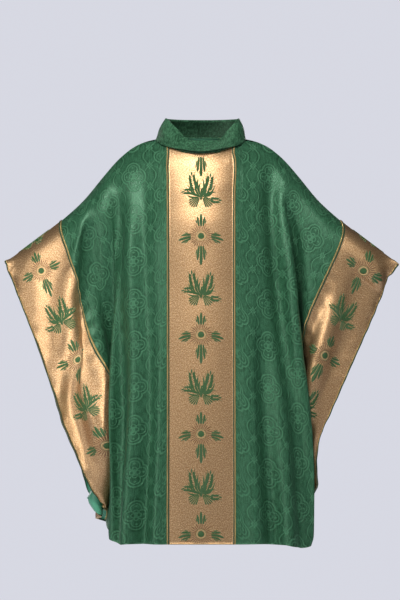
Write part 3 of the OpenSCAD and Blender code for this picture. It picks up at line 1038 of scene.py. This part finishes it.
def brocade():
    m = Mat("gold_brocade")
    cloud = m.noise(7, 3)
    grain_and_painted_glint = m.noise(430, 2, (1, 0.6, 1), 0.65)
    lame = m.noise(900, 1, (0.22, 1, 1), 0.5)
    rows = m.y.wave(0.0021) * 0.5 + 0.5
    warp = m.x.wave(0.0026) * 0.5 + 0.5
    base = m.mix(cloud, (0.39, 0.206, 0.088), (0.48, 0.266, 0.119))
    # bright cream specks: partly the metal thread's grain, partly painted glints
    base = m.mix((grain_and_painted_glint * 3.4 - 1.45).op("ADD", 0.0, clamp=True), base, (0.92, 0.70, 0.42))
    base = m.mix((lame * 2.4 - 1.15).op("ADD", 0.0, clamp=True), base, (0.25, 0.125, 0.050))
    m.colour(base)
    m.rough(grain_and_painted_glint * 0.18 + 0.31)
    m.bump(grain_and_painted_glint * 0.5 + rows * 0.28 + warp * 0.2 + lame * 0.3, 0.0006, 0.75)
    m.set(Metallic=0.85, Specular_IOR_Level=0.6, Anisotropic=0.3)
    return m.m


def gold_braid():
    m = Mat("galloon")
    twist = (m.y * 1.0 + m.x * 0.9).wave(0.0030) * 0.5 + 0.5
    wear = m.noise(300, 2)
    m.colour(m.mix((twist * 0.7 + wear * 0.3).op("ADD", 0.0, clamp=True), (0.30, 0.175, 0.055), (0.84, 0.62, 0.27)))
    m.rough(wear * 0.15 + 0.27)
    m.bump(twist + wear * 0.4, 0.0008, 0.9)
    m.set(Metallic=0.7, Specular_IOR_Level=0.6)
    return m.m


def cord_green():
    m = Mat("dark_green_piping")
    twist = (m.y + m.x * 0.8).wave(0.0026) * 0.5 + 0.5
    fuzz = m.noise(500, 2)
    m.colour(m.mix((twist * 0.6 + fuzz * 0.4).op("ADD", 0.0, clamp=True), (0.006, 0.038, 0.018), (0.020, 0.098, 0.046)))
    m.rough(fuzz * 0.2 + 0.38)
    m.bump(twist + fuzz * 0.5, 0.0007, 0.9)
    m.set(Specular_IOR_Level=0.5)
    return m.m


def lining_satin():
    m = Mat("green_lining")
    cloud, fine = m.noise(11, 3), m.noise(700, 1, (1, 0.2, 1))
    m.colour(m.mix((cloud * 0.6 + fine * 0.4).op("ADD", 0.0, clamp=True), (0.060, 0.330, 0.190), (0.125, 0.470, 0.290)))
    m.rough(fine * 0.12 + 0.34)
    m.bump(fine * 0.6 + m.x.wave(0.0014) * 0.15, 0.0004, 0.5)
    m.set(Specular_IOR_Level=0.55, Anisotropic=0.4, Sheen_Weight=0.15)
    return m.m


def canvas():
    m = Mat("interlining")
    a, b = m.x.wave(0.0016) * 0.5 + 0.5, m.y.wave(0.0016) * 0.5 + 0.5
    n = m.noise(350, 2)
    m.colour(m.mix((a * b + n * 0.3).op("ADD", 0.0, clamp=True), (0.52, 0.49, 0.42), (0.74, 0.71, 0.64)))
    m.rough(n * 0.1 + 0.8)
    m.bump(a * b + n * 0.3, 0.0005, 0.8)
    return m.m


def satin_stitch(name, dark, light):
    m = Mat(name)
    strand = (m.y + m.x * 0.35).wave(0.0011) * 0.5 + 0.5
    n = m.noise(260, 2)
    m.colour(m.mix((strand * 0.55 + n * 0.45).op("ADD", 0.0, clamp=True), dark, light))
    m.rough(n * 0.15 + 0.33)
    m.bump(strand + n * 0.3, 0.0004, 0.8)
    m.set(Specular_IOR_Level=0.5, Anisotropic=0.4)
    return m.m


M_DAMASK, M_PLAIN, M_GOLD, M_BRAID = damask(), plain_green(), brocade(), gold_braid()
# the green twill at 0.45 brightness: painted shade for the collar's inside
M_PAINTED_SHADE = plain_green("green_twill_painted_shade", 0.45)
M_CORD, M_LINING, M_CANVAS = cord_green(), lining_satin(), canvas()
M_THREAD = satin_stitch("thread", (0.020, 0.072, 0.018), (0.058, 0.162, 0.050))
M_COPPER = satin_stitch("thread_copper", (0.130, 0.050, 0.024), (0.27, 0.12, 0.06))
M_GOLDTHREAD = satin_stitch("thread_gold", (0.42, 0.27, 0.10), (0.80, 0.60, 0.32))

# ---------------------------------------------------------------- the cloth pieces
SIDES = ((0, "front"), (1, "back"))
HANDS = ((-1, "right"), (1, "left"))  # +X is the wearer's left
INNER = HALF - BAND
piece = {}

for side, where in SIDES:
    for hand, hn in HANDS:
        lo, hi = sorted((hand * (ORPHREY - 0.006), hand * (INNER + 0.006)))
        n = "panel_%s_%s" % (where, hn)
        piece[n] = cloth(n, side, lo, hi, 0.0, 0.0012, M_DAMASK, ["%s_panel_%s" % (where, hn)],
                         step=0.006)
        lo, hi = sorted((hand * INNER, hand * HALF))
        n = "band_%s_%s" % (where, hn)
        piece[n] = cloth(n, side, lo, hi, 0.0015, 0.0027, M_GOLD, ["side_band_%s_%s" % (where, hn)],
                         step=0.006)
    n = "centre_orphrey_" + where
    piece[n] = cloth(n, side, -ORPHREY, ORPHREY, 0.0015, 0.0027, M_GOLD, ["orphrey_" + where])
    n = "canvas_orphrey_" + where
    piece[n] = cloth(n, side, -ORPHREY + 0.008, ORPHREY - 0.008, -0.0012, -0.0004, M_CANVAS,
                     ["orphrey_interlining_" + where], top=0.006, bottom=0.012, step=0.016)
    n = "lining_satin_" + where
    piece[n] = cloth(n, side, -HALF + 0.003, HALF - 0.003, -0.0034, -0.0028, M_LINING,
                     ["lining_" + where], top=0.001, bottom=0.006, step=0.010)
    n = "hem_turning_" + where
    piece[n] = cloth(n, side, -HALF + 0.004, HALF - 0.004, -0.0024, -0.0016, M_PLAIN,
                     ["hem_facing_" + where], bottom=0.002, band=0.040, step=0.010)
for hand, hn in HANDS:
    lo, hi = sorted((hand * (NECK + 0.004), hand * (INNER - 0.01)))
    n = "seam_tape_" + hn
    piece[n] = cloth(n, 0, lo, hi, -0.0022, -0.0016, M_CANVAS, ["shoulder_tape_" + hn], top=0.001,
                     fall=0.018, step=0.008)


def down(u, side, top=0.0, bottom=0.0, n=60):
    z = np.linspace(float(top_at(np.array(u), side)) - top, float(hem_at(np.array(u), side)) + bottom, n)
    return np.stack([np.full(n, u), z], -1)


def along_hem(u0, u1, side, up=0.0, n=120):
    u = np.linspace(u0, u1, n)
    return np.stack([u, hem_at(u, side) + up], -1)


for side, where in SIDES:
    for hand, hn in HANDS:
        for edge, at, out in (("orphrey", ORPHREY, 1), ("band", INNER, -1)):
            # gold braid outside, a dark green cord between it and the gold cloth
            gold = strips("braid_%s_%s_%s" % (edge, where, hn), side, [down(hand * (at + out * 0.0016), side)],
                          rib(0.0046, 0.0010, 0.0044), M_BRAID, ["galloon_%s_%s_%s" % (edge, where, hn)])
            green = strips("cord_%s_%s_%s" % (edge, where, hn), side, [down(hand * (at - out * 0.0024), side)],
                           rib(0.0034, 0.0024, 0.0044), M_CORD, [])
            piece["braid_%s_%s_%s" % (edge, where, hn)] = gold
            piece["cord_%s_%s_%s" % (edge, where, hn)] = green
        green = strips("edge_piping_%s_%s" % (where, hn), side, [down(hand * (HALF - 0.0018), side, 0, 0.001)],
                       rib(0.0044, -0.0030, 0.0044), M_CORD, ["piping_%s_%s" % (where, hn)])
        piece["edge_piping_%s_%s" % (where, hn)] = green
        gold = strips("edge_gold_%s_%s" % (where, hn), side, [down(hand * (HALF - 0.0052), side, 0, 0.001)],
                      rib(0.0026, 0.0024, 0.0040), M_BRAID, [])
        piece["edge_gold_%s_%s" % (where, hn)] = gold
    lines = [along_hem(-ORPHREY, ORPHREY, side, 0.0016), along_hem(-HALF + 0.002, -INNER, side, 0.0016),
             along_hem(INNER, HALF - 0.002, side, 0.0016)]
    piece["hem_gold_" + where] = strips("hem_gold_" + where, side, lines, rib(0.0036, -0.0010, 0.0042), M_BRAID,
                                        [])


# ---------------------------------------------------------------- embroidery
def cut_height_of(side, u, worn_z):
    """The cut's height where the drape at distance u hangs at height worn_z."""
    z = np.linspace(float(top_at(np.array(u), side)), float(hem_at(np.array(u), side)), 400)
    p, _ = surface(side, np.full(400, u), z)
    return float(np.interp(-worn_z, -p[:, 2], z))


REPEAT = 0.292
for side, where in SIDES:
    strokes, rays, halos, edging = [], [], [], []
    for k in range(5):
        z = cut_height_of(side, 0.0, -0.010 - 0.2885 * k)
        strokes += placed(CROSS, 0.0, z)
        rays += placed(RAYS, 0.0, z)
        halos += placed(HALO, 0.0, z)
        edging += placed(outline(CROSS), 0.0, z)
        if k < 4:
            z = cut_height_of(side, 0.0, -0.159 - 0.2885 * k)
            strokes += placed(WHEAT, 0.0, z, 1, 1.03)
            edging += placed(outline(WHEAT), 0.0, z, 1, 1.03)
    n = "embroidery_orphrey_" + where
    piece[n] = embroider(n, side, strokes, M_THREAD, [])
    piece["rays_orphrey_" + where] = embroider("rays_orphrey_" + where, side, rays, M_COPPER, [])
    piece["halos_orphrey_" + where] = embroider("halos_orphrey_" + where, side, halos, M_GOLDTHREAD, [])
    piece["edging_orphrey_" + where] = embroider("edging_orphrey_" + where, side, edging, M_GOLDTHREAD, [],
                                                 0.0003, 0.0028)
    for hand, hn in HANDS:
        u0 = hand * (HALF - BAND / 2)
        top = float(top_at(np.array(u0), side))
        first = cut_height_of(side, u0, -0.400)
        strokes, rays, halos, edging = [], [], [], []
        for k in range(-2, 6):
            z = first - k * 0.140
            if z > top + 0.05:
                continue
            motif = CROSS if k % 2 == 0 else WHEAT
            strokes += placed(motif, u0, z, hand if k % 2 else 1, 0.96)
            edging += placed(outline(motif), u0, z, hand if k % 2 else 1, 0.96)
            if k % 2 == 0:
                rays += placed(RAYS, u0, z, 1, 0.96)
                halos += placed(HALO, u0, z, 1, 0.96)
        n = "embroidery_band_%s_%s" % (where, hn)
        piece[n] = embroider(n, side, strokes, M_THREAD, [])
        n = "rays_band_%s_%s" % (where, hn)
        piece[n] = embroider(n, side, rays, M_COPPER, [])
        n = "halos_band_%s_%s" % (where, hn)
        piece[n] = embroider(n, side, halos, M_GOLDTHREAD, [])
        n = "edging_band_%s_%s" % (where, hn)
        piece[n] = embroider(n, side, edging, M_GOLDTHREAD, [], 0.0003, 0.0028)

# single stitches beside the braids and along the hem
for side, where in SIDES:
    strokes = []
    for hand in (-1, 1):
        for u, lift in ((ORPHREY - 0.0058, 0.0028), (ORPHREY + 0.0052, 0.0013), (INNER + 0.0058, 0.0028),
                        (INNER - 0.0052, 0.0013)):
            z0, z1 = float(top_at(np.array(u), side)) - 0.006, float(hem_at(np.array(u), side)) + 0.004
            for z in np.arange(z0, z1, -0.0052):
                strokes.append((np.array([(hand * u, z), (hand * u, z - 0.0014), (hand * u, z - 0.0030)]),
                                np.array([0.0007, 0.0010, 0.0007]), lift))
    for hand in (-1, 1):
        for u in np.arange(ORPHREY + 0.008, INNER - 0.008, 0.0062):
            z = float(hem_at(np.array(u), side)) + 0.030
            strokes.append((np.array([(hand * u, z), (hand * (u + 0.0016), z), (hand * (u + 0.0034), z)]),
                            np.array([0.0006, 0.0009, 0.0006]), 0.0013))
    n = "topstitch_" + where
    piece[n] = embroider(n, side, strokes, M_THREAD, ["stitching_" + where], high=0.0005, base=0.0027)


# ---------------------------------------------------------------- collar
ANGLES = 2 * math.pi * np.arange(144) / 144


def collar_foot(a):
    f, b = neckline(a, True), neckline(a, False)
    p = np.where((np.sin(a) < 0)[:, None], f, b)
    p[:, 0] = 0.128 * np.cos(a)
    low = np.maximum(0, -np.sin(a)) ** 2
    p[:, 1] -= 0.005 * low
    p[:, 2] -= 0.005 * low
    return p


def collar_head(a):
    s = np.sin(a)
    front = s < 0
    x = 0.1065 * np.cos(a) + 0.004
    y = np.where(front, -0.074 * np.abs(s) ** 0.85, 0.066 * np.abs(s))
    # the front edge is level between two soft corners, and climbs straight to the sides
    r = np.where(x > 0.011, (x - 0.011) / 0.0995, (0.011 - x) / 0.1135)
    level = np.interp(r, [0.28, 0.42, 0.54, 0.70, 0.88, 0.96, 1.0],
                      [-0.0150, -0.0130, -0.0040, 0.0180, 0.0430, 0.0530, 0.0565])
    z = np.where(front, level, 0.0565 + 0.0015 * np.abs(s))
    return np.stack([x, y, z], -1)


FOOT, HEAD = collar_foot(ANGLES), collar_head(ANGLES)


def collar_point(v, off):
    """A ring of points on the collar, v up from its foot, off outward. The stand bellies out a little and is creased."""
    def at(q):
        p = FOOT + (HEAD - FOOT) * q
        out = p * np.array([1, 1, 0])
        out /= np.maximum(1e-6, np.linalg.norm(out, axis=1, keepdims=True))
        crease = np.zeros(len(ANGLES))
        for c, w, d in ((math.radians(-108), 0.16, 0.0030), (math.radians(-68), 0.14, 0.0034),
                        (math.radians(-150), 0.20, 0.0020), (math.radians(-28), 0.20, 0.0020),
                        (math.radians(70), 0.30, 0.0016), (math.radians(125), 0.26, 0.0018)):
            da = np.angle(np.exp(1j * (ANGLES - c)))
            crease += d * np.exp(-(da / w) ** 2)
        belly = 0.0045 * math.sin(math.pi * min(1, max(0, q))) + crease * min(1, max(0, q * 1.2))
        return p + out * np.reshape(belly, (-1, 1))
    p = at(v)
    along = np.roll(p, -1, 0) - np.roll(p, 1, 0)
    up = at(v + 0.02) - at(v - 0.02)
    n = np.cross(along, up)
    n /= np.linalg.norm(n, axis=1, keepdims=True)
    if (n * p * np.array([1, 1, 0])).sum() < 0:
        n = -n
    return p + n * off


def collar_ring(name, section, material, nodes):
    """A closed ring of cloth whose section is (v, off) points."""
    rings = [collar_point(v, off) for v, off in section]
    m, n = len(rings), len(ANGLES)
    verts = np.concatenate(rings)
    loop = run_length(np.concatenate([FOOT, FOOT[:1]]))[:-1]
    s = run_length(np.array([(v * 0.055, off) for v, off in section]))
    uv = np.concatenate([np.stack([loop, np.full(n, s[k])], -1) for k in range(m)])
    faces = []
    for k in range(m):
        k2 = (k + 1) % m
        for i in range(n):
            i2 = (i + 1) % n
            faces.append((k * n + i, k * n + i2, k2 * n + i2, k2 * n + i))
    ob = new_piece(name, verts, faces, uv, material, nodes)
    b = bmesh.new()
    b.from_mesh(ob.data)
    bmesh.ops.recalc_face_normals(b, faces=b.faces)
    b.to_mesh(ob.data)
    b.free()
    return ob


def upright(v0, v1, o0, o1, n=10, rounded=True):
    """Section of an upright band from v0 to v1, between offsets o0 and o1, with a rounded head."""
    v = np.linspace(v0, v1, n)
    sec = [(q, o1) for q in v]
    if rounded:
        mid, r = (o0 + o1) / 2, (o1 - o0) / 2
        sec += [(v1 + 0.9 * r / 0.055 * math.sin(t), mid + r * math.cos(t)) for t in np.linspace(0.4, math.pi - 0.4, 5)]
    sec += [(q, o0) for q in v[::-1]]
    return sec


around = float(run_length(np.concatenate([FOOT, FOOT[:1]]))[-1])
TOP_V = 0.985
outer = [(v, 0.0054) for v in np.linspace(-0.17, 0.05, 4)] + [(v, 0.0046) for v in np.linspace(0.10, TOP_V, 10)]
outer += [(TOP_V + 0.035 * math.sin(t), 0.0010 + 0.0036 * math.cos(t)) for t in np.linspace(0.35, math.pi - 0.2, 7)]
outer += [(v, -0.0026) for v in np.linspace(TOP_V, 0.80, 4)]
outer += [(v, -0.0016) for v in np.linspace(0.80, TOP_V - 0.02, 4)]
outer += [(TOP_V - 0.01 + 0.02 * math.sin(t), 0.0010 + 0.0026 * math.cos(t)) for t in np.linspace(math.pi - 0.3, 0.3, 5)]
outer += [(v, 0.0036) for v in np.linspace(TOP_V - 0.02, -0.17, 12)]
piece["collar_cover"] = collar_ring("collar_cover", outer, M_PLAIN, ["collar_outer"])
piece["collar_stiffening"] = collar_ring("collar_stiffening", upright(0.02, 0.92, 0.0004, 0.0030), M_CANVAS,
                                         ["collar_interfacing"])
# the collar's inner layer takes the darkened twill, painted shade
piece["collar_inside"] = collar_ring("collar_inside", upright(-0.06, 0.93, -0.0036, -0.0028), M_PAINTED_SHADE,
                                     ["collar_lining"])
binding = [(-0.03 + 0.05 * math.sin(t), -0.0058 + 0.0022 * math.cos(t)) for t in np.linspace(0, 2 * math.pi, 11)[:-1]]
piece["neck_bound_edge"] = collar_ring("neck_bound_edge", binding, M_PLAIN, ["neck_binding"])

# ---------------------------------------------------------------- the flat cuts
for side, where in SIDES:
    own = {"centre_orphrey_" + where: ["embroidery_orphrey_" + where, "hem_gold_" + where, "topstitch_" + where,
                                       "rays_orphrey_" + where, "halos_orphrey_" + where,
                                       "edging_orphrey_" + where]}
    for hand, hn in HANDS:
        own["centre_orphrey_" + where] += ["braid_orphrey_%s_%s" % (where, hn), "cord_orphrey_%s_%s" % (where, hn)]
        own["band_%s_%s" % (where, hn)] = ["embroidery_band_%s_%s" % (where, hn), "braid_band_%s_%s" % (where, hn),
                                           "cord_band_%s_%s" % (where, hn), "edge_piping_%s_%s" % (where, hn),
                                           "edge_gold_%s_%s" % (where, hn), "rays_band_%s_%s" % (where, hn),
                                           "halos_band_%s_%s" % (where, hn), "edging_band_%s_%s" % (where, hn)]
        own["panel_%s_%s" % (where, hn)] = []
    for n, extra in own.items():
        declare(piece[n], [piece[q] for q in extra])
    declare(piece["lining_satin_" + where])
    declare(piece["hem_turning_" + where])
    declare(piece["canvas_orphrey_" + where])
for hand, hn in HANDS:
    declare(piece["seam_tape_" + hn])
for n, high, thick_share in (("collar_cover", 0.076, 1.0), ("collar_stiffening", 0.052, 1.0), ("collar_inside", 0.052, 1.0)):
    around * high * (0.95 if n != "collar_cover" else 0.95)

# ---------------------------------------------------------------- stage, light and camera
BACK = (0.680, 0.690, 0.765)
DIST = 6.5
CENTRE = Vector((0.0, 0.0, -0.486))
camera = bpy.data.cameras.new("camera")
camera.sensor_fit = "VERTICAL"
camera.sensor_height = 24
camera.lens = 24 * DIST / 1.8
camera.clip_end = 60
cam = bpy.data.objects.new("camera", camera)
scene.collection.objects.link(cam)
cam.location = CENTRE + Vector((-0.003, -DIST, 0))
cam.rotation_euler = (math.pi / 2, 0, 0)
scene.camera = cam

floor_mesh = bpy.data.meshes.new("floor")
b = bmesh.new()
bmesh.ops.create_circle(b, cap_ends=True, segments=96, radius=3.0)
b.to_mesh(floor_mesh)
b.free()
floor = bpy.data.objects.new("floor", floor_mesh)
floor.location = (0, 0, -1.62)
scene.collection.objects.link(floor)
fm = bpy.data.materials.new("floor")
fm.use_nodes = True
ft = fm.node_tree
fb = ft.nodes["Principled BSDF"]
fb.inputs["Base Color"].default_value = (0.78, 0.79, 0.84, 1)
fb.inputs["Roughness"].default_value = 0.9
em = ft.nodes.new("ShaderNodeEmission")
em.inputs[0].default_value = (*BACK, 1)
tc = ft.nodes.new("ShaderNodeTexCoord")
ln = ft.nodes.new("ShaderNodeVectorMath")
ln.operation = "LENGTH"
ft.links.new(tc.outputs["Object"], ln.inputs[0])
mr = ft.nodes.new("ShaderNodeMapRange")
mr.interpolation_type = "SMOOTHSTEP"
mr.inputs["From Min"].default_value = 0.2
mr.inputs["From Max"].default_value = 1.5
mr.inputs["To Min"].default_value = 0.35
ft.links.new(ln.outputs["Value"], mr.inputs["Value"])
ms = ft.nodes.new("ShaderNodeMixShader")
ft.links.new(mr.outputs[0], ms.inputs[0])
ft.links.new(fb.outputs[0], ms.inputs[1])
ft.links.new(em.outputs[0], ms.inputs[2])
ft.links.new(ms.outputs[0], ft.nodes["Material Output"].inputs[0])
floor_mesh.materials.append(fm)

world = bpy.data.worlds.new("studio")
scene.world = world
world.use_nodes = True
wt = world.node_tree
bg = wt.nodes["Background"]
bg.inputs[0].default_value = (*BACK, 1)
bg.inputs[1].default_value = 1.0
dim = wt.nodes.new("ShaderNodeBackground")
dim.inputs[0].default_value = (0.90, 0.93, 1.0, 1)
dim.inputs[1].default_value = 0.06
lp = wt.nodes.new("ShaderNodeLightPath")
wm = wt.nodes.new("ShaderNodeMixShader")
wt.links.new(lp.outputs["Is Camera Ray"], wm.inputs[0])
wt.links.new(dim.outputs[0], wm.inputs[1])
wt.links.new(bg.outputs[0], wm.inputs[2])
wt.links.new(wm.outputs[0], wt.nodes["World Output"].inputs[0])
scene.view_settings.view_transform = "Standard"
scene.view_settings.look = "None"
scene.view_settings.exposure = 0
scene.view_settings.gamma = 1


def softbox(name, at, size, watts, aim=(0, 0, -0.6), colour=(1, 0.98, 0.95), tall=None):
    light = bpy.data.lights.new(name, "AREA")
    light.shape = "RECTANGLE"
    light.size, light.size_y = size, (tall or size)
    light.energy, light.color = watts, colour
    o = bpy.data.objects.new(name, light)
    o.location = at
    o.rotation_euler = (Vector(aim) - Vector(at)).to_track_quat("-Z", "Y").to_euler()
    scene.collection.objects.link(o)


def mirror_spot(side, u, z, reach, eye=(0.0, -DIST, CENTRE[2])):
    """Where a light must stand for that patch of cloth to mirror it to the front, and the patch's centre."""
    du, dz = np.meshgrid(np.linspace(-0.02, 0.02, 5), np.linspace(-0.05, 0.05, 5))
    p, n = surface(side, u + du.ravel(), z + dz.ravel())
    p, n = p.reshape(-1, 3).mean(0), n.reshape(-1, 3).mean(0)
    n /= np.linalg.norm(n)
    v = np.array(eye) - p
    v /= np.linalg.norm(v)
    n = n * np.sign(n @ v)
    return tuple(float(c) for c in p + (2 * (n @ v) * n - v) * reach), tuple(float(c) for c in p)


flank_light, flank = mirror_spot(0, -(INNER + 0.122), -0.68, 2.6)
softbox("key", (-0.24, -2.1, 1.34), 0.78, 63, tall=0.62, aim=(-0.03, -0.1, -0.18))
softbox("front", (0.4, -3.8, 0.7), 0.8, 3, tall=1.2, aim=(0, -0.1, -0.6))
softbox("side_key", (-2.35, -2.6, -0.62), 0.42, 27, tall=0.70, aim=(-0.42, 0, -0.70))
# a snooted lamp that reaches only the raised sleeve's band
softbox("band_beam", flank_light, 0.42, 36, tall=0.70, aim=flank)
raised_band = bpy.data.collections.new("raised_band")
for o in scene.objects:
    if "band_front_right" in o.name and o.type == "MESH":
        raised_band.objects.link(o)
bpy.data.objects["band_beam"].light_linking.receiver_collection = raised_band
softbox("fill", (2.8, -2.8, 0.4), 0.7, 9, tall=1.6, aim=(0, 0, -0.5))
softbox("top", (0.1, -1.0, 2.3), 1.2, 6, aim=(0, -0.1, -0.3))
softbox("back_key", (0.4, 3.9, 0.2), 1.6, 48, aim=(0, 0.2, -0.6))
softbox("back_fill", (-2.2, 3.0, -0.2), 1.2, 20, aim=(0, 0, -0.8))
